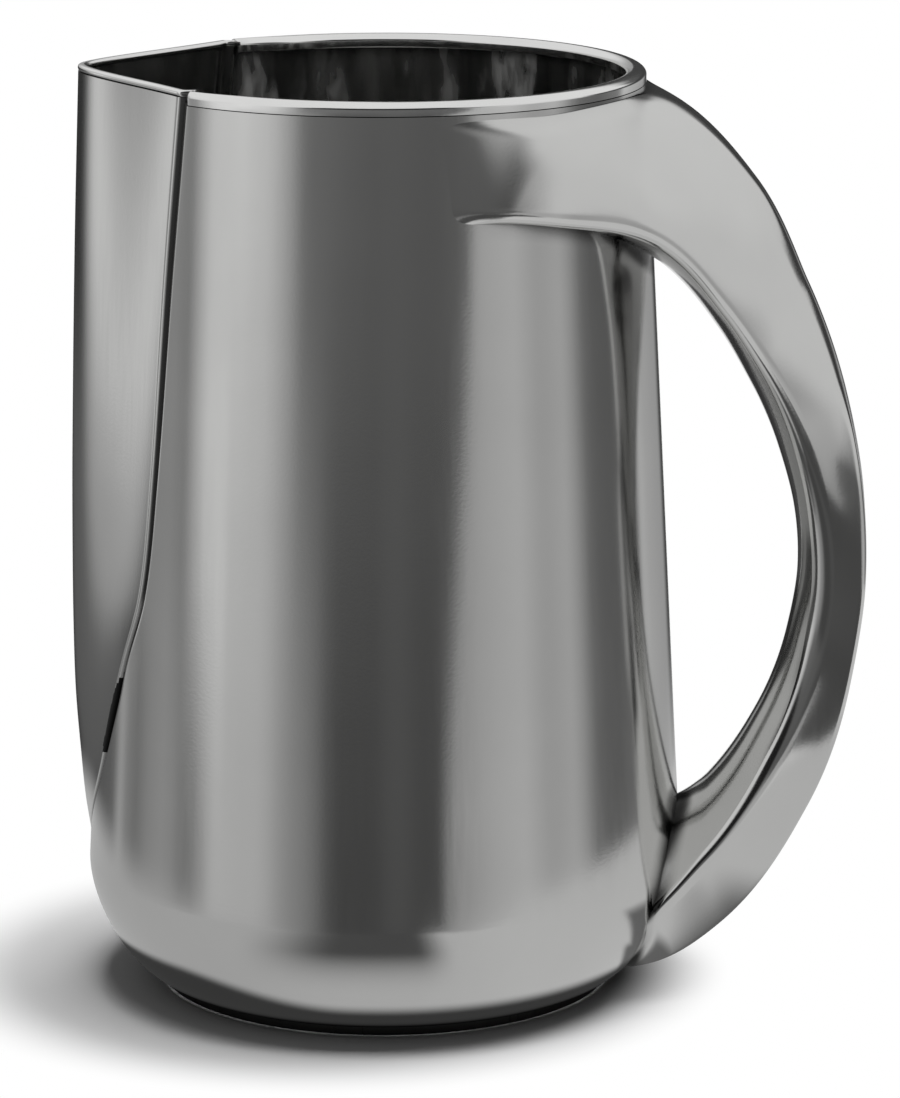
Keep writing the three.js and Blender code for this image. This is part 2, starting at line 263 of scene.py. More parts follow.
def body_outline(fine):
    """Outer outline of the body, bottom edge to rim, as radius, height and outward normal."""
    p0 = np.array([FOOT_RADIUS + SEAM, WALL_BOTTOM])
    p1 = p0 + [CORNER_FLAT, 0]
    z2 = BELLY_HEIGHT - CORNER_RISE
    p2 = np.array([cone_radius(z2), z2])
    p3 = np.array([cone_radius(BELLY_HEIGHT), BELLY_HEIGHT])
    point, along = cubic(p0, p1, p2, p3, np.linspace(0, 1, fine)[:, None])
    z = np.linspace(BELLY_HEIGHT, WALL_TOP + SEAM, 2 * fine)[1:]
    point = np.vstack([point, np.stack([cone_radius(z), z], 1)])
    along = np.vstack([along, np.tile(p3 - p2, (len(z), 1))])
    return point, outward(along)


OUTLINE, OUTLINE_NORMAL = body_outline(OUTLINE_STEPS)


def body_radius(z):
    """Outer radius of the body at a height, bottom corner included."""
    return np.interp(z, OUTLINE[:, 1], OUTLINE[:, 0])


# Mesh helpers

def make_object(name, points, faces, material, sharp=SHARP_ANGLE):
    verts = [(x * MM + AXIS_X, y * MM, z * MM) for x, y, z in points]
    mesh = bpy.data.meshes.new(name)
    mesh.from_pydata(verts, [], faces)
    work = bmesh.new()
    work.from_mesh(mesh)
    bmesh.ops.remove_doubles(work, verts=work.verts, dist=MERGE_DISTANCE)
    bmesh.ops.dissolve_degenerate(work, dist=DEGENERATE_DISTANCE, edges=work.edges)
    bmesh.ops.recalc_face_normals(work, faces=work.faces)
    work.to_mesh(mesh)
    work.free()
    mesh.shade_smooth()
    mesh.set_sharp_from_angle(angle=math.radians(sharp))
    piece = bpy.data.objects.new(name, mesh)
    bpy.context.scene.collection.objects.link(piece)
    piece.data.materials.append(material)
    return piece


def sheet_faces(rows, columns, open_from=0):
    """Faces of a closed sheet between two matching grids; side walls start at a row."""
    def at(side, i, j):
        return side * rows * columns + i * columns + j

    faces = []
    for i in range(rows - 1):
        for j in range(columns - 1):
            faces.append((at(0, i, j), at(0, i + 1, j), at(0, i + 1, j + 1), at(0, i, j + 1)))
            faces.append((at(1, i, j), at(1, i, j + 1), at(1, i + 1, j + 1), at(1, i + 1, j)))
        if i >= open_from:
            far = columns - 1
            faces.append((at(0, i, 0), at(1, i, 0), at(1, i + 1, 0), at(0, i + 1, 0)))
            faces.append((at(0, i, far), at(0, i + 1, far), at(1, i + 1, far), at(1, i, far)))
    for j in range(columns - 1):
        end = rows - 1
        faces.append((at(0, 0, j), at(0, 0, j + 1), at(1, 0, j + 1), at(1, 0, j)))
        faces.append((at(0, end, j), at(1, end, j), at(1, end, j + 1), at(0, end, j + 1)))
    return faces


def sheet(name, outer, inner, material, open_from=0, sharp=SHARP_ANGLE):
    """A closed sheet with an outer and an inner grid of points."""
    rows, columns = outer.shape[:2]
    points = np.vstack([outer.reshape(-1, 3), inner.reshape(-1, 3)])
    return make_object(name, points, sheet_faces(rows, columns, open_from), material, sharp)


def grid_normals(grid):
    """Unit normals of a grid of points."""
    down = np.gradient(grid, axis=0)
    across = np.gradient(grid, axis=1)
    normal = np.cross(down, across)
    return normal / np.maximum(np.linalg.norm(normal, axis=2)[..., None], TINY)


def grid_faces(rows, columns, round_rows, round_columns):
    """Faces of a grid of points, joined up again after the last row or column where asked."""
    faces = []
    for i in range(rows if round_rows else rows - 1):
        k = (i + 1) % rows
        for j in range(columns if round_columns else columns - 1):
            n = (j + 1) % columns
            faces.append((i * columns + j, k * columns + j, k * columns + n, i * columns + n))
    return faces


def turned(name, profile, material):
    """A closed profile of radius and height points turned about the body axis."""
    angle = np.linspace(0, 2 * math.pi, TURN, endpoint=False)
    points = [(r * math.cos(a), r * math.sin(a), z) for a in angle for r, z in profile]
    return make_object(name, points, grid_faces(TURN, len(profile), True, True), material)


# Spout plan

def crease_angle(z):
    """Angle of the crease from the nose, about the body axis."""
    return np.radians(through(SPOUT_STATIONS, 1, np.asarray(z) / HEIGHT))


def slit(z):
    """Short stretch near the foot of the crease where the groove is deeper and wider."""
    lowest, low_full, high_full, highest = SLIT_HEIGHTS
    return smooth_step(lowest, low_full, z) - smooth_step(high_full, highest, z)


def grown(z, low_share):
    """Share of the groove at a height: a lower share below, one at the mouth."""
    return low_share + (1 - low_share) * smooth_step(*CREASE_GROWS, z / HEIGHT)


def crease_depth(z):
    """Depth of the groove: deep at the mouth and the slit, gone where the spout ends."""
    share = grown(z, CREASE_LOW_DEPTH) + SLIT_DEPTH * slit(z)
    return CREASE_DEPTH * float(share * smooth_step(0.0, CREASE_FULL, crease_angle(z)))


def crease_width(z):
    return CREASE_WIDTH * float(grown(z, CREASE_LOW_WIDTH) + SLIT_WIDTH * slit(z))


def groove(z, away):
    """Depth of the groove at distances from the crease."""
    return crease_depth(z) * np.exp(-((away / crease_width(z)) ** 2))


def spout_plan(z, t):
    """Point and outward normal on half the spout at a height; t runs from nose to crease."""
    radius = cone_radius(z)
    nose = radius + through(SPOUT_STATIONS, 2, z / HEIGHT)
    reach = radius * np.cos(crease_angle(z))
    half = radius * np.sin(crease_angle(z))
    p0 = np.array([nose, 0.0])
    p1 = np.array([nose, SPOUT_NOSE_PULL * half])
    p2 = np.array([reach + SPOUT_PINCH_REACH * (nose - reach), SPOUT_PINCH_WIDTH * half])
    p3 = np.array([reach, half])
    point, along = cubic(p0, p1, p2, p3, t[:, None])
    return point, outward(along)


def spout_row(z, offset, t):
    """Points round the whole spout at a height, moved out by an offset, edges dipped inwards."""
    point, normal = spout_plan(z, t)
    move = offset - groove(z, np.linalg.norm(point - point[-1], axis=1))
    placed = point + normal * move[:, None]
    near = np.stack([-placed[::-1, 0], -placed[::-1, 1], np.full(len(t), z)], 1)
    far = np.stack([-placed[1:, 0], placed[1:, 1], np.full(len(t) - 1, z)], 1)
    return np.vstack([near, far])


# Node helpers

def node_maker(tree):
    """Short ways to add and join nodes of a node tree."""
    nodes, links = tree.nodes, tree.links

    def join(value, socket):
        if isinstance(value, (int, float, tuple)):
            socket.default_value = value
        else:
            links.new(value, socket)

    def calc(kind, a, b=0.0):
        node = nodes.new("ShaderNodeMath")
        node.operation = kind
        join(a, node.inputs[0])
        join(b, node.inputs[1])
        return node.outputs["Value"]

    def step(value, ends, low_value=0.0, high_value=1.0, kind="SMOOTHSTEP"):
        node = nodes.new("ShaderNodeMapRange")
        node.interpolation_type = kind
        join(value, node.inputs["Value"])
        node.inputs["From Min"].default_value = ends[0]
        node.inputs["From Max"].default_value = ends[1]
        node.inputs["To Min"].default_value = low_value
        node.inputs["To Max"].default_value = high_value
        return node.outputs["Result"]

    def blend(factor, a, b):
        node = nodes.new("ShaderNodeMix")
        join(factor, node.inputs["Factor"])
        join(a, node.inputs["A"])
        join(b, node.inputs["B"])
        return node.outputs["Result"]

    def multiply(colour, factor):
        node = nodes.new("ShaderNodeMix")
        node.data_type = "RGBA"
        node.blend_type = "MULTIPLY"
        node.inputs[0].default_value = 1.0
        join(colour, node.inputs[6])
        join(factor, node.inputs[7])
        return node.outputs[2]

    def ramp(value, stops, first, last):
        node = nodes.new("ShaderNodeValToRGB")
        elements = node.color_ramp.elements
        elements.remove(elements[1])
        for k, (where, level) in enumerate(stops):
            share = (where - first) / (last - first)
            element = elements[0] if k == 0 else elements.new(share)
            element.position = share
            element.color = (level, level, level, 1)
        join(calc("DIVIDE", calc("SUBTRACT", value, first), last - first), node.inputs["Fac"])
        return node.outputs["Color"]

    def noise(vector, scale, detail):
        node = nodes.new("ShaderNodeTexNoise")
        if isinstance(scale, tuple):
            stretch = nodes.new("ShaderNodeMapping")
            stretch.inputs["Scale"].default_value = scale
            links.new(vector, stretch.inputs["Vector"])
            vector, scale = stretch.outputs["Vector"], 1.0
        node.inputs["Scale"].default_value = scale
        node.inputs["Detail"].default_value = detail
        links.new(vector, node.inputs["Vector"])
        return node.outputs["Fac"]

    def vector_math(kind, vector, constant):
        node = nodes.new("ShaderNodeVectorMath")
        node.operation = kind
        links.new(vector, node.inputs[0])
        node.inputs[1].default_value = constant
        return node.outputs["Value"]

    return SimpleNamespace(
        calc=calc, step=step, blend=blend, multiply=multiply, ramp=ramp, noise=noise,
        vector_math=vector_math,
    )


# Materials: scales are in waves a metre, details in octaves, ranges are of the noise
CLOUD_SCALE, CLOUD_DETAIL, CLOUD_RANGE, CLOUD_DARK = 28.0, 4.0, (0.3, 0.7), 0.94
LINES_SCALE, LINES_DETAIL, LINES_RANGE = (900.0, 900.0, 40.0), 2.0, (0.3, 0.7)
SMUDGE_SCALE, SMUDGE_DETAIL, SMUDGE_RANGE = (150.0, 150.0, 45.0), 3.0, (0.52, 0.68)
GRAIN_SCALE, GRAIN_DETAIL, GRAIN_HEIGHT = 1600.0, 2.0, 0.00005

# Painted shade in hollows, darkening creases, joints and the contact: tone where closed, reach in
# metres, and how open a spot is at its ends
HOLLOW_SHADE = 0.22
HOLLOW_SHADE_REACH = 0.004
HOLLOW_SHADE_OPEN = (0.55, 1.0)
HOLLOW_SHADE_SAMPLES = 8

# Grip, painted shade: heights in metres between which its tone falls, and the share left above
DARKER_HEIGHTS = (0.06, 0.11)
DARKER_SHARE = 0.5


def silver(name, colour, roughness, spread, grain, dull=0.0):
    """Polished sterling: clouded tone and gloss, polishing lines, satin grain and dull smudges, with
    painted shade in hollows.
    """
    material = bpy.data.materials.new(name)
    material.use_nodes = True
    nodes, links = material.node_tree.nodes, material.node_tree.links
    make = node_maker(material.node_tree)
    shader = nodes["Principled BSDF"]
    shader.inputs["Metallic"].default_value = 1.0
    place = nodes.new("ShaderNodeTexCoord").outputs["Object"]

    tone = nodes.new("ShaderNodeValToRGB")
    darker = tuple(c * CLOUD_DARK for c in colour)
    for element, position, shade in zip(tone.color_ramp.elements, CLOUD_RANGE, (darker, colour)):
        element.position = position
        element.color = (*shade, 1)
    links.new(make.noise(place, CLOUD_SCALE, CLOUD_DETAIL), tone.inputs["Fac"])

    # Painted shade: the base colour darkens where ambient occlusion finds the surface closed in, in
    # creases, joints and at the foot
    hollow = nodes.new("ShaderNodeAmbientOcclusion")
    hollow.samples = HOLLOW_SHADE_SAMPLES
    hollow.inputs["Distance"].default_value = HOLLOW_SHADE_REACH
    painted_shade = make.step(hollow.outputs["AO"], HOLLOW_SHADE_OPEN, HOLLOW_SHADE)
    links.new(make.multiply(tone.outputs["Color"], painted_shade), shader.inputs["Base Color"])

    lines = make.noise(place, LINES_SCALE, LINES_DETAIL)
    gloss = make.step(lines, LINES_RANGE, roughness - spread, roughness + spread, "LINEAR")
    blots = make.noise(place, SMUDGE_SCALE, SMUDGE_DETAIL)
    smudge = make.step(blots, SMUDGE_RANGE, 0.0, dull, "LINEAR")
    links.new(make.calc("ADD", gloss, smudge), shader.inputs["Roughness"])

    bump = nodes.new("ShaderNodeBump")
    bump.inputs["Strength"].default_value = grain
    bump.inputs["Distance"].default_value = GRAIN_HEIGHT
    links.new(make.noise(place, GRAIN_SCALE, GRAIN_DETAIL), bump.inputs["Height"])
    links.new(bump.outputs["Normal"], shader.inputs["Normal"])
    return material


def paint_shade_upwards(material):
    """Painted shade: let the tone of a material fall from the lower to the upper part of the handle."""
    nodes, links = material.node_tree.nodes, material.node_tree.links
    make = node_maker(material.node_tree)
    colour = nodes["Principled BSDF"].inputs["Base Color"]
    height = nodes.new("ShaderNodeSeparateXYZ")
    links.new(nodes.new("ShaderNodeTexCoord").outputs["Object"], height.inputs["Vector"])
    share = make.step(height.outputs["Z"], DARKER_HEIGHTS, 1.0, DARKER_SHARE)
    links.new(make.multiply(colour.links[0].from_socket, share), colour)


SATIN = silver("satin_silver", (0.70, 0.70, 0.69), 0.12, 0.012, 0.08)
# Painted shade: the grip is a darker copy of the satin silver, darker still towards the top of the
# handle
GRIP = silver("grip_silver_painted_shade", (0.64, 0.64, 0.63), 0.12, 0.012, 0.08)
paint_shade_upwards(GRIP)
# Painted highlight: the mouth wire and pouring lip are a brighter copy of the satin silver
WIRE_HIGHLIGHT_SILVER = silver("bright_wire", (0.9, 0.9, 0.89), 0.12, 0.02, 0.05)
BASE = silver("base_silver", (0.62, 0.62, 0.61), 0.22, 0.02, 0.08)
INSIDE = silver("inside_silver", (0.70, 0.70, 0.69), 0.14, 0.02, 0.08, 0.36)
# Painted shade: the foot hoop is a dark copy of the silver, standing in for the contact shadow under
# the body
FOOT_SHADE_SILVER = silver("foot_silver_painted_shade", (0.2, 0.2, 0.195), 0.3, 0.03, 0.08)
# Painted shade: near-black silver standing in for the dark shade in the foot of the crease
SLIT_PAINTED_SHADE = silver("slit_painted_shade", (0.03, 0.03, 0.03), 0.5, 0.03, 0.08)


# Body wall: a grid that runs from one side of the spout round the back to the other

def edge_angles(crease, radius):
    """Angles from one crease to the other, close together near the creases."""
    near = np.array(NEAR_CREASE) / radius
    start = crease + SEAM / 2 / radius * np.clip(crease / SEAM_OPENS, 0, 1)
    end = 2 * math.pi - start
    middle = np.linspace(start + near[-1], end - near[-1], TURN)[1:-1]
    return np.concatenate([start + near, middle, end - near[::-1]])


def from_ends(angle, radius):
    """Distance of each angle of a row from the nearer end of the row."""
    return np.minimum(angle - angle[0], angle[-1] - angle) * radius


def build_body():
    outer, inner = [], []
    open_from = None
    for row, ((r, z), (nr, nz)) in enumerate(zip(OUTLINE, OUTLINE_NORMAL)):
        below = z / HEIGHT <= SPOUT_FOOT
        crease = 0.0 if below else float(crease_angle(z))
        if not below and open_from is None:
            open_from = row
        angle = edge_angles(crease, r)
        dip = np.zeros_like(angle) if below else groove(z, from_ends(angle, r))
        for grid, move in ((outer, -dip), (inner, -WALL - dip)):
            radius = r + nr * move
            height = np.full_like(angle, z) + nz * move
            grid.append(np.stack([-radius * np.cos(angle), -radius * np.sin(angle), height], 1))
    return sheet("body_skin", np.array(outer), np.array(inner), SATIN, open_from)


def dull_inside(piece):
    """Give the faces that look at the body axis the finish of the inside."""
    piece.data.materials.append(INSIDE)
    for face in piece.data.polygons:
        inward = (face.center.x - AXIS_X) * face.normal.x + face.center.y * face.normal.y
        face.material_index = 1 if inward < 0 else 0


def paint_slit_shade(piece, width):
    """Give the outer faces by the foot of the crease, up to a width in mm, a black painted shade."""
    piece.data.materials.append(SLIT_PAINTED_SHADE)
    black = len(piece.data.materials) - 1
    first_inner = len(piece.data.vertices) // 2
    for face in piece.data.polygons:
        z = face.center.z / MM
        if min(face.vertices) >= first_inner or not SLIT_HEIGHTS[0] < z < SLIT_HEIGHTS[-1]:
            continue
        angle = math.atan2(abs(face.center.y), AXIS_X - face.center.x)
        if abs(angle - crease_angle(z)) * cone_radius(z) < width * slit(z):
            face.material_index = black


body = build_body()
dull_inside(body)
paint_slit_shade(body, SLIT_ON_BODY)

base = turned(
    "base_disc",
    [
        (BASE_POLE, WALL_BOTTOM), (FOOT_RADIUS - BASE_EASE_IN, WALL_BOTTOM),
        (FOOT_RADIUS, WALL_BOTTOM + BASE_EASE_UP), (FOOT_RADIUS, WALL_BOTTOM + WALL),
        (BASE_POLE, WALL_BOTTOM + WALL),
    ],
    BASE,
)

foot_inside = FOOT_RADIUS - FOOT_WIDTH
foot = turned(
    "foot_hoop",
    [(foot_inside, 0), (FOOT_RADIUS, 0), (FOOT_RADIUS, FOOT_HEIGHT), (foot_inside, FOOT_HEIGHT)],
    FOOT_SHADE_SILVER,
)


# Mouth wire: a rounded section led round the mouth from crease to crease

def build_rim():
    outside = RIM_RADIUS + RIM_WIRE_PROUD
    lowest = HEIGHT - RIM_WIRE_HEIGHT
    waist = HEIGHT - RIM_WIRE_HEIGHT / 2
    turn = np.radians(np.linspace(0, 180, RIM_ARC_STEPS))

    def section(inside):
        middle, half = (outside + inside) / 2, (outside - inside) / 2
        crown = [(middle + half * math.cos(a), waist + (HEIGHT - waist) * math.sin(a)) for a in turn]
        return crown + [
            (inside, lowest + RIM_WIRE_EASE), (inside + RIM_WIRE_EASE, lowest),
            (outside - RIM_WIRE_EASE, lowest), (outside, lowest + RIM_WIRE_EASE),
        ]

    angle = edge_angles(float(crease_angle(HEIGHT)), RIM_RADIUS)
    reach = from_ends(angle, RIM_RADIUS)
    inward = LIP_WIDTH + (RIM_WIRE_INWARD - LIP_WIDTH) * smooth_step(0, RIM_TAPER, reach)
    count = len(section(0))
    points = [
        (-(r - sunk) * math.cos(a), -(r - sunk) * math.sin(a), z)
        for a, width, sunk in zip(angle, inward, groove(HEIGHT, reach))
        for r, z in section(RIM_RADIUS - width)
    ]
    faces = grid_faces(len(angle), count, False, True)
    faces.append(tuple(range(count)))
    faces.append(tuple(range((len(angle) - 1) * count, len(angle) * count)))
    return make_object("mouth_wire", points, faces, WIRE_HIGHLIGHT_SILVER)


rim = build_rim()


# Spout shell and its lip

def build_spout():
    levels = np.linspace(SPOUT_FOOT * HEIGHT, HEIGHT - LIP_HEIGHT, SPOUT_LEVELS)
    outer, inner = [], []
    for z in levels:
        width = float(np.clip(crease_angle(z) / SPOUT_THIN_ANGLE, 0, 1))
        gap = SEAM / 2 / max(cone_radius(z) * math.sin(crease_angle(z)), SEAM)
        span = SPOUT_SHARES * (1 - min(gap, 0.5))
        outer.append(spout_row(z, 0.0, span))
        inner.append(spout_row(z, -WALL * min(width * 2 + 0.1, 1), span))
    return sheet("spout_skin", np.array(outer), np.array(inner), SATIN)


def build_lip():
    middle = LIP_PROUD - LIP_WIDTH / 2
    half, tall = LIP_WIDTH / 2, LIP_HEIGHT / 2
    rows = []
    for a in np.radians(np.linspace(0, 360, LIP_STEPS, endpoint=False)):
        ca, sa = math.cos(a), math.sin(a)
        square = 1 / max(abs(ca), abs(sa)) ** LIP_SQUARENESS
        row = spout_row(HEIGHT, middle + half * max(-1, min(1, ca * square)), SPOUT_SHARES)
        row[:, 2] = HEIGHT - tall + tall * max(-1, min(1, sa * square))
        rows.append(row)
    ring = np.array(rows)
    columns = ring.shape[1]
    faces = grid_faces(LIP_STEPS, columns, True, False)
    faces.append(tuple(i * columns for i in range(LIP_STEPS)))
    faces.append(tuple(i * columns + columns - 1 for i in range(LIP_STEPS)))
    return make_object("pouring_lip", ring.reshape(-1, 3), faces, WIRE_HIGHLIGHT_SILVER)


spout = build_spout()
paint_slit_shade(spout, SLIT_ON_SPOUT)
lip = build_lip()


# Handle

def on_ray(angle, distance, y):
    """Points at distances from the grip centre on rays at angles in degrees, at sideways places."""
    a = np.radians(angle)
    return np.stack([GRIP_X + distance * np.cos(a), y, GRIP_Z + distance * np.sin(a)], -1)


def handle_section(angle):
    """On rays: distances to outer band, edge and grip, half widths at edge and band, fullness."""
    back = through(HANDLE_STATIONS, 1, angle) * HEIGHT
    top = (WALL_TOP - GRIP_Z) / np.sin(np.radians(np.maximum(angle, TOP_LOWEST_RAY)))
    back = np.where(angle > TOP_FROM, top - soft_plus(top - back, TOP_SOFT), back)
    edge = through(HANDLE_STATIONS, 2, angle) * HEIGHT
    grip = through(HANDLE_STATIONS, 3, angle) * HEIGHT
    half = through(HANDLE_STATIONS, 4, angle) * RIM_RADIUS
    tail = through(HANDLE_STATIONS, 5, angle) * RIM_RADIUS
    root = on_ray(angle, back, np.zeros_like(back))
    chord = cone_radius(root[..., 2]) ** 2 - root[..., 0] ** 2
    ring = np.sqrt(soft_plus(chord, RING_SOFT)) * smooth_step(*RING_OPENS, angle)
    bulge = through(HANDLE_STATIONS, 6, angle)
    return back, edge, grip, half, ring + tail * np.exp(-ring / TAIL_FADE), bulge


RAYS = np.linspace(HANDLE_STATIONS[0][0], HANDLE_STATIONS[-1][0], RAY_COUNT)
SECTIONS = handle_section(RAYS)


def section_at(angle):
    """The handle's section at angles, read from the table of rays."""
    return [np.interp(angle, RAYS, column) for column in SECTIONS]


def wall_depth(points):
    """How far points stand proud of the body."""
    return np.hypot(points[..., 0], points[..., 1]) - body_radius(points[..., 2])


def from_axis(points, proud):
    """Points moved straight out from the body axis until they stand that proud of the body."""
    away = np.maximum(np.hypot(points[..., 0], points[..., 1]), TINY)
    scale = (body_radius(points[..., 2]) + proud) / away
    return points * np.stack([scale, scale, np.ones_like(scale)], -1)


def settle(points, angle, share_across):
    """Feather the upper root of the handle into the body, over a longer way near the rim."""
    fade = ROOT_FADE + (ROOT_FADE_TOP - ROOT_FADE) * share_across
    proud = wall_depth(points)
    eased = soft_plus(proud, ROOT_BLEND) * smooth_step(0, fade, ROOT_ANGLE - angle) - BURIED
    share = smooth_step(*ROOT_FROM, angle) * smooth_step(*ROOT_PROUD, proud)
    return from_axis(points, proud + (eased - proud) * share)


def inner_limit(edge, grip, half):
    """Share of the half width at which the inner band ends and the rounded edge starts."""
    return 1 - np.minimum(EDGE_ROUND_INNER, EDGE_LIMIT * half) / np.hypot(2 * (edge - grip), half)


FLANK_COLUMNS = (
    [("edge", t) for t in np.linspace(0, 1, 9)]
    + [("side", t) for t in np.linspace(0, 1, 27)[1:-1]]
    + [("heel", t) for t in np.linspace(0, 1, 9)]
)


def bend(start, corner, end, t):
    """Rounded corner from a start to an end."""
    return (1 - t) ** 2 * start + 2 * t * (1 - t) * corner + t * t * end


def back_round(angle):
    """Rounding between flank and outer band; fuller along the upper part."""
    return BACK_ROUND + (BACK_ROUND_HIGH - BACK_ROUND) * smooth_step(*BACK_ROUND_GROWS, angle)


def outer_half(angle, tail):
    """Half width of the flat of the outer band, inside its rounded edges."""
    return tail - np.minimum(back_round(angle), BACK_LIMIT * tail)


def flank_half(half, tail, bulge, t):
    """Half width of a flank part of the way from its inner edge to the outer band."""
    return tail + (half - tail) * (1 - t**bulge)


def flank_at(angle, column):
    """Point of a flank on a ray: rounded inner edge, side, rounded outer edge."""
    back, edge, grip, half, tail, bulge = section_at(angle)
    length = np.hypot(back - edge, tail - half)
    v = inner_limit(edge, grip, half)
    cut = np.minimum(EDGE_ROUND_FLANK / length, EDGE_LIMIT)
    trim = 1 - np.minimum(back_round(angle) / length, EDGE_LIMIT)
    kind, t = FLANK_COLUMNS[column]
    if kind == "edge":
        d = bend(grip + (edge - grip) * v * v, edge, edge + (back - edge) * cut, t)
        y = bend(half * v, half, flank_half(half, tail, bulge, cut), t)
    elif kind == "side":
        at = cut + (trim - cut) * t
        d = edge + (back - edge) * at
        y = flank_half(half, tail, bulge, at)
    else:
        d = bend(edge + (back - edge) * trim, back, back, t)
        y = bend(flank_half(half, tail, bulge, trim), tail, outer_half(angle, tail), t)
    gap = wall_depth(on_ray(angle, d, y)) / JOINT_WIDTH
    y = y - JOINT_DEPTH * np.exp(-(gap**2)) * smooth_step(*JOINT_FROM, angle)
    return settle(on_ray(angle, d, y), angle, column / (len(FLANK_COLUMNS) - 1))


def inner_at(angle, share):
    """Point of the inner band, with a small fillet where its lower end runs onto the body."""
    _, edge, grip, half, _, _ = section_at(angle)
    v = share * inner_limit(edge, grip, half)
    d = grip + (edge - grip) * v * v
    near = np.clip(1 - np.maximum(wall_depth(on_ray(angle, d, half * v)), 0) / CROTCH_REACH, 0, 1)
    low = smooth_step(*CROTCH_FROM, angle) * smooth_step(*CROTCH_SHARE, abs(share))
    return on_ray(angle, d - CROTCH_LIFT * near**2 * low, half * v)


def outer_at(angle, share):
    """Point of the outer band."""
    back, _, _, _, tail, _ = section_at(angle)
    return on_ray(angle, back, share * outer_half(angle, tail))


def into_wall(track, run):
    """First angle of a run at which a track of points has gone into the body wall."""
    inside = np.nonzero(wall_depth(track(run)) < -INSIDE_WALL)[0]
    return run[inside[0]] if len(inside) else run[-1]


def handle_grid(tracks, top_run, low_run, counts):
    """Grid of points along the handle; each track starts and ends inside the body wall."""
    columns = []
    for track in tracks:
        start, end = into_wall(track, top_run), into_wall(track, low_run)
        angles = np.concatenate([
            np.linspace(start, top_run[0], counts[0])[:-1],
            np.linspace(top_run[0], low_run[0], counts[1])[:-1],
            np.linspace(low_run[0], end, counts[2]),
        ])
        columns.append(track(angles))
    return np.stack(columns, 1)


def shell(name, grid, material):
    """Closed sheet under a visible grid; its hidden side never comes through the body wall."""
    inner = grid - grid_normals(grid) * SHEET
    inner = from_axis(inner, np.maximum(wall_depth(inner), -HIDDEN_DEPTH * WALL))
    return sheet(name, grid, inner, material, sharp=HANDLE_SHARP_ANGLE)


LOW_RUN = np.linspace(LOW_ANGLE, FOOT_ANGLE, 521)
TOP_RUN = np.linspace(FREE_ANGLE, ROOT_ANGLE, 521)
OUTER_RUN = np.linspace(*OUTER_ROOT, 401)
FLANK_RUN = np.array([FREE_ANGLE, ROOT_ANGLE])

# Points along a track above, between and below the two runs
FLANK_COUNTS = (140, 160, 32)
INNER_COUNTS = (72, 160, 42)
OUTER_COUNTS = (40, 160, 32)
INNER_SHARES = np.linspace(-1, 1, 65)
OUTER_SHARES = np.linspace(-1, 1, 17)


def build_flank(name, side):
    tracks = [lambda a, c=c: flank_at(a, c) for c in range(len(FLANK_COLUMNS))]
    grid = handle_grid(tracks, FLANK_RUN, LOW_RUN, FLANK_COUNTS)
    grid[..., 1] *= side
    return shell(name, grid[:, ::-1] if side > 0 else grid, SATIN)


def build_inner():
    tracks = [lambda a, v=v: inner_at(a, v) for v in INNER_SHARES]
    grid = handle_grid(tracks, TOP_RUN, LOW_RUN, INNER_COUNTS)
    return shell("handle_inside", grid[:, ::-1], GRIP)


def build_outer():
    tracks = [lambda a, v=v: outer_at(a, v) for v in OUTER_SHARES]
    grid = handle_grid(tracks, OUTER_RUN, LOW_RUN, OUTER_COUNTS)
    return shell("handle_back", grid, SATIN)


left_flank = build_flank("handle_side_left", -1)
right_flank = build_flank("handle_side_right", 1)
inner_band = build_inner()
outer_band = build_outer()

for piece, node, slot in (
    (body, "body_wall", "satin_silver"),
    (base, "base_plate", "base_silver"),
    (foot, "foot_ring", "base_silver"),
    (rim, "rim_wire", "bright_wire"),
    (spout, "spout_shell", "satin_silver"),
    (lip, "spout_lip", "bright_wire"),
    (left_flank, "handle_left_flank", "satin_silver"),
    (right_flank, "handle_right_flank", "satin_silver"),
    (inner_band, "handle_inner_band", "satin_silver"),
    (outer_band, "handle_outer_band", "satin_silver"),
):
    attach(piece, "root")
    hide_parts(node)


# Camera

yaw = math.radians(PART_YAW)
front = Vector((math.sin(yaw), -math.cos(yaw), 0))
right = Vector((math.cos(yaw), math.sin(yaw), 0))
camera_data = bpy.data.cameras.new("camera")
camera = bpy.data.objects.new("camera", camera_data)
bpy.context.scene.collection.objects.link(camera)
camera.location = Vector((AXIS_X, 0, CAMERA_HEIGHT * MM)) + front * CAMERA_DISTANCE * MM
down, turn = math.radians(LOOK_DOWN), math.radians(LOOK_RIGHT)
look = (right * math.sin(turn) - front * math.cos(turn)) * math.cos(down)
look.z = -math.sin(down)
camera.rotation_euler = look.to_track_quat("-Z", "Y").to_euler()
camera_data.sensor_fit = "VERTICAL"
camera_data.sensor_height = SENSOR
camera_data.lens = FOCAL_PIXELS / PHOTO_HEIGHT * SENSOR
camera_data.clip_start = CLIP_NEAR
bpy.context.scene.camera = camera


# Floor: a small pale table top that fades into the white around it

FLOOR_RADIUS = 0.24
FLOOR_RINGS = 24
FLOOR_TURNS = 96
FLOOR_WHITE = (0.066, 0.092)
FADE_SHIFT = 0.014
PAPER = 0.88

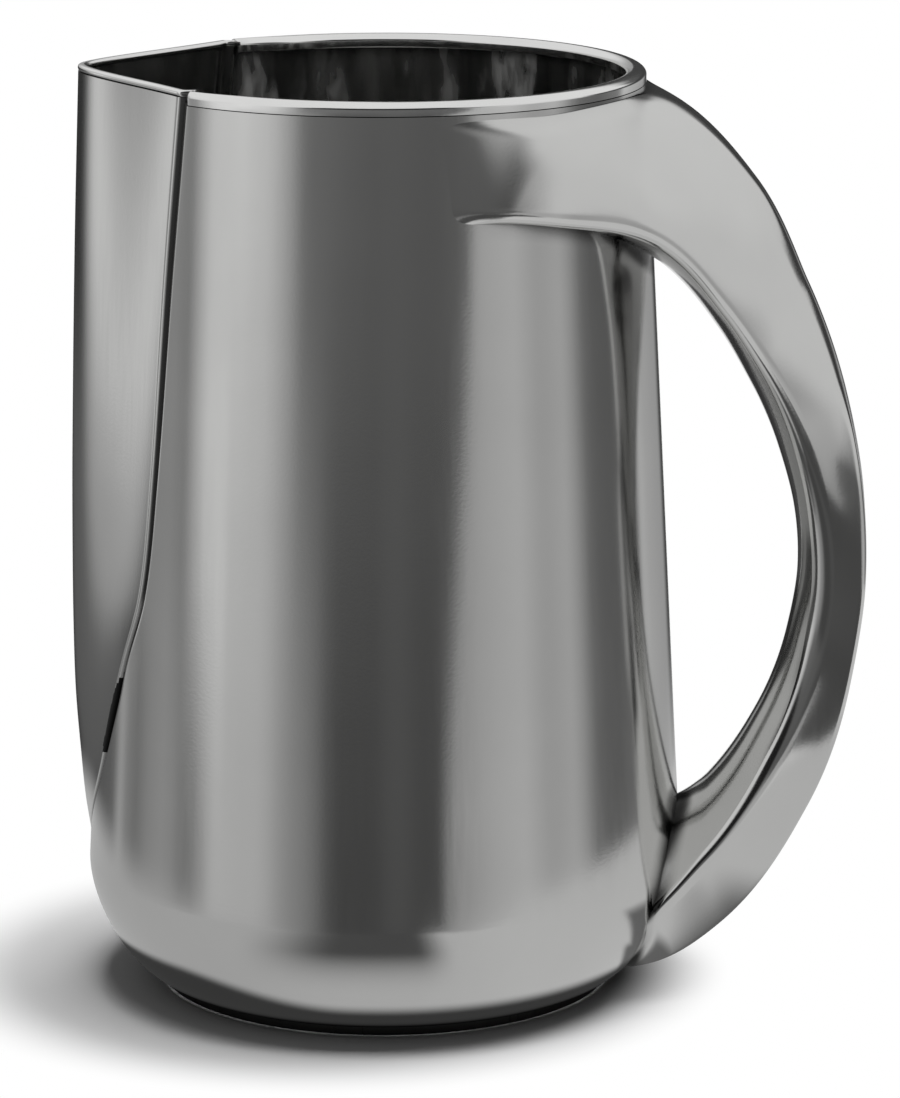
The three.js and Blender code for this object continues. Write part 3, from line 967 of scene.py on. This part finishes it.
# The table as the silver shows it, painted as a glow: contact shadow, shade under the body, then paper
# at the left, in front and at the right, and the dark of the room lying on the table in front
CONTACT_MIRRORED = 0.008
SHADE_MIRRORED = 0.05
LEFT_MIRRORED = 0.48
FRONT_MIRRORED = 0.55
RIGHT_MIRRORED = 0.6
GLOOM_MIRRORED = 0.085
SHADE_LEFT = 0.0655
SHADE_RIGHT = 0.0585
SHADE_SOFT = 0.0025
HEEL_SHADE = 0.75
GLOOM_REACH = (0.064, 0.097)
CONTACT_REACH = (0.049, 0.054)
HEEL_FAR_REACH = (0.115, 0.09)
HEEL_NEAR_REACH = (0.072, 0.066)
TABLE_LEFT = 0.185
TABLE_RIGHT = 0.22
TABLE_SOFT = 0.03
TABLE_CRISP = 0.006
SOFT_EDGE = (-1, 1)

# Bearings in degrees, to the right of the camera's side, between which the table changes
GLOOM_LEFT = (-42, -12)
GLOOM_RIGHT = (19, 8)
LEFT_TO_FRONT = (-40, -5)
FRONT_TO_RIGHT = (8, 40)
SHADE_TURNS = (-60, -10)
HEEL_FAR = (76, 80.5)
HEEL_NEAR = (72, 77)
TABLE_TO_RIGHT = (25, 50)
BEHIND = (125, 178)

DEGREES = 180 / math.pi


def build_floor():
    work = bmesh.new()
    grid = [[work.verts.new((AXIS_X, 0, 0))]]
    for i in range(1, FLOOR_RINGS + 1):
        r = FLOOR_RADIUS * i / FLOOR_RINGS
        grid.append([
            work.verts.new((AXIS_X + r * math.cos(a), r * math.sin(a), 0))
            for a in (2 * math.pi * k / FLOOR_TURNS for k in range(FLOOR_TURNS))
        ])
    for k in range(FLOOR_TURNS):
        n = (k + 1) % FLOOR_TURNS
        work.faces.new((grid[0][0], grid[1][k], grid[1][n]))
        for i in range(1, FLOOR_RINGS):
            work.faces.new((grid[i][k], grid[i + 1][k], grid[i + 1][n], grid[i][n]))
    mesh = bpy.data.meshes.new("floor")
    work.to_mesh(mesh)
    work.free()
    floor = bpy.data.objects.new("floor", mesh)
    bpy.context.scene.collection.objects.link(floor)
    material = bpy.data.materials.new("floor_paper")
    material.use_nodes = True
    nodes, links = material.node_tree.nodes, material.node_tree.links
    nodes.clear()
    make = node_maker(material.node_tree)
    calc, step, blend = make.calc, make.step, make.blend
    out = nodes.new("ShaderNodeOutputMaterial")
    path = nodes.new("ShaderNodeLightPath")
    place = nodes.new("ShaderNodeTexCoord").outputs["Object"]

    def away_from(x):
        return make.vector_math("DISTANCE", place, (x, 0, 0))

    def along(vector):
        return calc("SUBTRACT", make.vector_math("DOT_PRODUCT", place, vector), AXIS_X * vector.x)

    def except_for(share):
        return calc("SUBTRACT", 1.0, share)

    away = away_from(AXIS_X)
    bearing = calc("MULTIPLY", calc("ARCTAN2", along(right), along(front)), DEGREES)
    behind = step(bearing, BEHIND)

    # In the silver the table is lit all round except in front, where the dark of the room lies on it
    gloom = calc("MULTIPLY", step(bearing, GLOOM_LEFT), step(bearing, GLOOM_RIGHT))
    gloom = calc("MULTIPLY", gloom, step(away, GLOOM_REACH))
    side = blend(step(bearing, LEFT_TO_FRONT), LEFT_MIRRORED, FRONT_MIRRORED)
    side = blend(step(bearing, FRONT_TO_RIGHT), side, RIGHT_MIRRORED)
    side = blend(behind, side, LEFT_MIRRORED)
    tone = blend(gloom, side, GLOOM_MIRRORED)

    # Painted shade under the body, and the painted shade that the lower end of the handle adds
    shade_end = blend(step(bearing, SHADE_TURNS), SHADE_LEFT, SHADE_RIGHT)
    shade_end = blend(behind, shade_end, SHADE_LEFT)
    lit = step(calc("DIVIDE", calc("SUBTRACT", away, shade_end), SHADE_SOFT), SOFT_EDGE)
    far = calc("MULTIPLY", step(bearing, HEEL_FAR), step(away, HEEL_FAR_REACH))
    near = calc("MULTIPLY", step(bearing, HEEL_NEAR), step(away, HEEL_NEAR_REACH))
    heel = calc("MULTIPLY", calc("MAXIMUM", far, near), HEEL_SHADE)
    heel = calc("MULTIPLY", heel, except_for(behind))
    tone = calc("MULTIPLY", tone, except_for(heel))
    under = blend(step(away, CONTACT_REACH), CONTACT_MIRRORED, SHADE_MIRRORED)
    # Painted reflection: for glossy rays the table glows with these tones, painted shadows included
    mirrored = nodes.new("ShaderNodeEmission")
    links.new(blend(lit, under, tone), mirrored.inputs["Color"])
    paper = nodes.new("ShaderNodeBsdfDiffuse")
    paper.inputs["Color"].default_value = (PAPER, PAPER, PAPER, 1)
    white = nodes.new("ShaderNodeEmission")
    fade = step(away_from(AXIS_X - FADE_SHIFT), FLOOR_WHITE)

    def mix(factor, first, second):
        node = nodes.new("ShaderNodeMixShader")
        links.new(factor, node.inputs["Fac"])
        links.new(first, node.inputs[1])
        links.new(second, node.inputs[2])
        return node.outputs["Shader"]

    seen = mix(
        calc("MULTIPLY", fade, path.outputs["Is Camera Ray"]),
        paper.outputs["BSDF"], white.outputs["Emission"],
    )
    direct = calc("LESS_THAN", path.outputs["Diffuse Depth"], 0.5)
    links.new(direct, mirrored.inputs["Strength"])
    seen = mix(path.outputs["Is Glossy Ray"], seen, mirrored.outputs["Emission"])

    # The mirrored table ends softly on the left and sharply on the right
    to_right = calc("MULTIPLY", step(bearing, TABLE_TO_RIGHT), except_for(behind))
    limit = blend(to_right, TABLE_LEFT, TABLE_RIGHT)
    spread = blend(to_right, TABLE_SOFT, TABLE_CRISP)
    beyond = step(calc("DIVIDE", calc("SUBTRACT", away, limit), spread), SOFT_EDGE)
    clear = nodes.new("ShaderNodeBsdfTransparent")
    table = mix(
        calc("MULTIPLY", beyond, path.outputs["Is Glossy Ray"]), seen, clear.outputs["BSDF"]
    )
    links.new(table, out.inputs["Surface"])
    floor.data.materials.append(material)


build_floor()


# Light: a studio with a dark middle, pale screens left and right and one overhead. Each screen is
# a list of azimuths in degrees, to the right of the camera's side, and levels there

FRONT_HIGH = [
    (-66, 0.76), (-62, 0.78), (-56, 0.72), (-50, 0.68), (-45, 0.57), (-39, 0.4), (-34, 0.2),
    (-29, 0.165), (-24, 0.165), (-14, 0.145), (-4, 0.13), (6, 0.13), (20, 0.12), (30, 0.12),
]
FRONT_LOW = [
    (-66, 0.53), (-57, 0.51), (-51, 0.51), (-46, 0.46), (-42, 0.375), (-37, 0.31), (-32, 0.27),
    (-27, 0.2), (-23, 0.11), (-18, 0.068), (-4, 0.07), (1, 0.09), (6, 0.095), (10, 0.083),
    (14, 0.073), (30, 0.075),
]
LEFT_HIGH = [
    (-180, 0.03), (-140, 0.04), (-135, 0.07), (-131, 0.17), (-127, 0.5), (-124, 0.72), (-121, 0.74),
    (-119, 0.64), (-117.5, 0.53), (-116.5, 0.43), (-115.5, 0.37), (-111, 0.38), (-107, 0.3), (-97, 0.3),
    (-93, 0.27), (-89, 0.24), (-86, 0.36), (-83, 0.5), (-77, 0.72), (-66, 0.74),
]
LEFT_LOW = [
    (-180, 0.05), (-160, 0.06), (-150, 0.11), (-138, 0.13), (-134, 0.15), (-131, 0.25), (-129, 0.36),
    (-127, 0.42), (-125, 0.36), (-122, 0.26), (-114, 0.19), (-106, 0.29), (-97, 0.34), (-91, 0.31),
    (-86, 0.22), (-80, 0.21), (-75, 0.36), (-70, 0.52),
]
LEFT_TOP = [(-180, 0.3), (-160, 0.5), (-105, 0.5), (-90, 0.7)]
RIGHT_LOW = [
    (25, 0.4), (45, 0.48), (56, 0.52), (66, 0.42), (70, 0.42), (79, 0.47), (84, 0.37),
    (91, 0.17), (97, 0.13), (107, 0.12), (117, 0.17), (124, 0.2), (129, 0.55), (136, 0.46),
    (150, 0.38), (157, 0.36), (163, 0.06), (180, 0.05),
]
RIGHT_HIGH = [(25, 0.7), (96, 0.7), (102, 0.2), (107, 0.05), (180, 0.05)]
RIGHT_TOP = [(25, 0.7), (132, 0.7), (146, 0.1), (180, 0.05)]
OVERHEAD = 0.75
DARK_ABOVE = 0.015
RIGHT_UNDER = 0.68

# Right side of the dark middle: rise in degrees and azimuth there in hundreds, and its softness
EDGE = [
    (-30, 0.25), (-24, 0.33), (-20, 0.39), (-17, 0.47), (-14, 0.4), (-12.3, 0.25), (-11, 0.209),
    (-4, 0.384), (0, 0.37), (5, 0.42), (10, 0.5), (14, 0.5), (20, 0.2),
]
EDGE_UNIT = 100.0
EDGE_SOFTNESS = 2.5
EDGE_SOFTER = 15.0

# Rises, then azimuths, in degrees, between which one screen passes into the next
LEFT_RISE = (-11.5, -8.5)
LEFT_TOP_RISE = (-1, 5)
FRONT_RISE = (-11, -3)
RIGHT_RISE = (-3, 4)
RIGHT_TOP_RISE = (10, 14)
RIGHT_UNDER_RISE = (-16, -13)
SOFTER_RISE = (-4, 4)
DARK_RISE = (5, 10)
OVERHEAD_RISE = (10, 22)
LEFT_TO_MIDDLE = (-69, -64)
FACING_LEFT = (-45, -25)
FACING_RIGHT = (45, 25)
FAR_RIGHT = (136, 146)

# How much higher the overhead screen starts at the far right and in front
FAR_RIGHT_LIFT = 9.0
FACING_LIFT = 20.0

# White behind the part, where the camera sees it in the frame
STRAIGHT_BACK = (170, 174)
FRAME_BOTTOM = (-22, -18)
FRAME_TOP = (-5, -8)

ROOM_ON_TABLE = 0.16
LAMP_SIZE = 0.8
LAMP_POWER = 15.0
LAMP_RIGHT, LAMP_BACK, LAMP_HEIGHT = 0.16, 0.12, 1.1


def build_world():
    world = bpy.data.worlds.new("studio")
    bpy.context.scene.world = world
    world.use_nodes = True
    nodes, links = world.node_tree.nodes, world.node_tree.links
    nodes.clear()
    make = node_maker(world.node_tree)
    calc, step, blend = make.calc, make.step, make.blend
    out = nodes.new("ShaderNodeOutputWorld")
    place = nodes.new("ShaderNodeTexCoord").outputs["Generated"]

    def along(vector):
        return make.vector_math("DOT_PRODUCT", place, vector)

    azimuth = calc("MULTIPLY", calc("ARCTAN2", along(right), along(front)), DEGREES)
    rise = calc("MULTIPLY", calc("ARCSINE", along((0, 0, 1))), DEGREES)

    def screen(stops):
        return make.ramp(azimuth, stops, -180, 180)

    # The right side of the dark middle leans with height, turns back low down and at the level,
    # and grows softer above the level
    edge = calc("MULTIPLY", make.ramp(rise, EDGE, -90, 90), EDGE_UNIT)
    soft = calc("ADD", EDGE_SOFTNESS, calc("MULTIPLY", step(rise, SOFTER_RISE), EDGE_SOFTER))
    past_edge = step(calc("DIVIDE", calc("SUBTRACT", azimuth, edge), soft), SOFT_EDGE)

    left = blend(step(rise, LEFT_RISE), screen(LEFT_LOW), screen(LEFT_HIGH))
    left = blend(step(rise, LEFT_TOP_RISE), left, screen(LEFT_TOP))
    middle = blend(step(rise, FRONT_RISE), screen(FRONT_LOW), screen(FRONT_HIGH))
    left = blend(step(azimuth, LEFT_TO_MIDDLE), left, middle)
    right_side = blend(step(rise, RIGHT_RISE), screen(RIGHT_LOW), screen(RIGHT_HIGH))
    right_side = blend(step(rise, RIGHT_TOP_RISE), right_side, screen(RIGHT_TOP))
    right_side = blend(step(rise, RIGHT_UNDER_RISE), RIGHT_UNDER, right_side)
    level = blend(past_edge, left, right_side)

    facing = calc("MULTIPLY", step(azimuth, FACING_LEFT), step(azimuth, FACING_RIGHT))
    level = blend(calc("MULTIPLY", facing, step(rise, DARK_RISE)), level, DARK_ABOVE)
    higher = calc("MULTIPLY", step(azimuth, FAR_RIGHT), FAR_RIGHT_LIFT)
    higher = calc("ADD", higher, calc("MULTIPLY", facing, FACING_LIFT))
    level = blend(step(calc("SUBTRACT", rise, higher), OVERHEAD_RISE), level, OVERHEAD)
    straight_back = step(calc("ABSOLUTE", azimuth), STRAIGHT_BACK)
    in_frame = calc("MULTIPLY", step(rise, FRAME_BOTTOM), step(rise, FRAME_TOP))
    level = blend(calc("MULTIPLY", straight_back, in_frame), level, 1.0)

    path = nodes.new("ShaderNodeLightPath")
    seen = calc("MAXIMUM", path.outputs["Is Camera Ray"], path.outputs["Is Transmission Ray"])
    dimmed = calc("MULTIPLY", level, ROOM_ON_TABLE)
    on_table = calc("MINIMUM", path.outputs["Diffuse Depth"], 1.0)
    level = blend(on_table, level, dimmed)
    around = nodes.new("ShaderNodeBackground")
    links.new(blend(seen, level, 1.0), around.inputs["Color"])
    links.new(around.outputs["Background"], out.inputs["Surface"])


build_world()

lamp_data = bpy.data.lights.new("overhead", "AREA")
lamp_data.shape = "SQUARE"
lamp_data.size = LAMP_SIZE
lamp_data.energy = LAMP_POWER
lamp = bpy.data.objects.new("overhead", lamp_data)
bpy.context.scene.collection.objects.link(lamp)
lamp.location = (AXIS_X + LAMP_RIGHT, LAMP_BACK, LAMP_HEIGHT)
lamp.visible_glossy = False

bpy.context.scene.view_settings.view_transform = "Standard"
